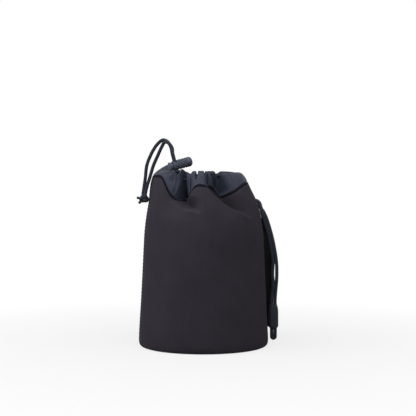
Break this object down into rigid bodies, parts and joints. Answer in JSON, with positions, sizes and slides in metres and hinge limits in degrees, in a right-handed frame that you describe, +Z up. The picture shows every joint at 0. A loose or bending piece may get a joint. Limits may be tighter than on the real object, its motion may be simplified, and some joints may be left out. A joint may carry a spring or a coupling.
{
  "type": "lens pouch",
  "caption": "Padded drawstring lens pouch: soft round cup with a gathered collar, spring cord lock, webbing belt loop and doubled carry cord with a slider.",
  "frame": {"origin": "middle of the base panel's underside, where the pouch stands", "axes": "+Z up out of the mouth, -Y to the front with the two deep collar folds, +X to the belt loop and carry cord"},
  "size_m": [0.1135, 0.1046, 0.166],
  "materials": {
    "neoprene": "charcoal knit-faced neoprene, matt",
    "foam": "closed-cell foam",
    "plush": "short black plush lining",
    "tape": "black nylon binding tape",
    "nylon": "blue-black woven nylon with a slight sheen",
    "cord": "black braided polyester cord",
    "webbing": "black ribbed nylon webbing",
    "plastic": "black moulded plastic",
    "steel": "spring steel wire"
  },
  "bodies": {
    "pouch": {"outer_shell": "neoprene", "base_panel": "neoprene", "base_pad": "foam", "floor_lining": "plush", "floor_seam_tape": "tape", "inner_lining": "plush", "seam_piping": "tape", "collar": "nylon", "cord_eyelet": "plastic", "drawstring_run": "cord", "drawstring_tail_front": "cord", "drawstring_tail_back": "cord", "drawstring_knot": "cord", "belt_loop": "webbing", "carry_tab": "webbing"},
    "cord_lock": {"cord_lock_barrel": "plastic", "cord_lock_spring": "steel"},
    "lock_plunger": {"cord_lock_plunger": "plastic"},
    "carry_loop": {"carry_cord": "cord"},
    "slider": {"carry_slider": "plastic"}
  },
  "joints": [
    {"name": "cord_lock_slide", "type": "slide", "parent": "pouch", "child": "cord_lock", "axis": [-0.2432, -0.0885, 0.9659], "range_m": [0, 0.0055]},
    {"name": "plunger_press", "type": "slide", "parent": "cord_lock", "child": "lock_plunger", "axis": [0.9077, 0.3304, 0.2588], "range_m": [0, 0.0014], "stiffness_N_per_m": 800, "springref_m": -0.0015, "deforming": ["cord_lock_spring"]},
    {"name": "carry_loop_swing", "type": "hinge", "parent": "pouch", "child": "carry_loop", "pos_m": [0.035, 0.0266, 0.1234], "axis": [0.5736, -0.8192, 0], "range_deg": [0, 75]},
    {"name": "slider_slide", "type": "slide", "parent": "carry_loop", "child": "slider", "axis": [0, 0, 1], "range_m": [0, 0.012]}
  ]
}
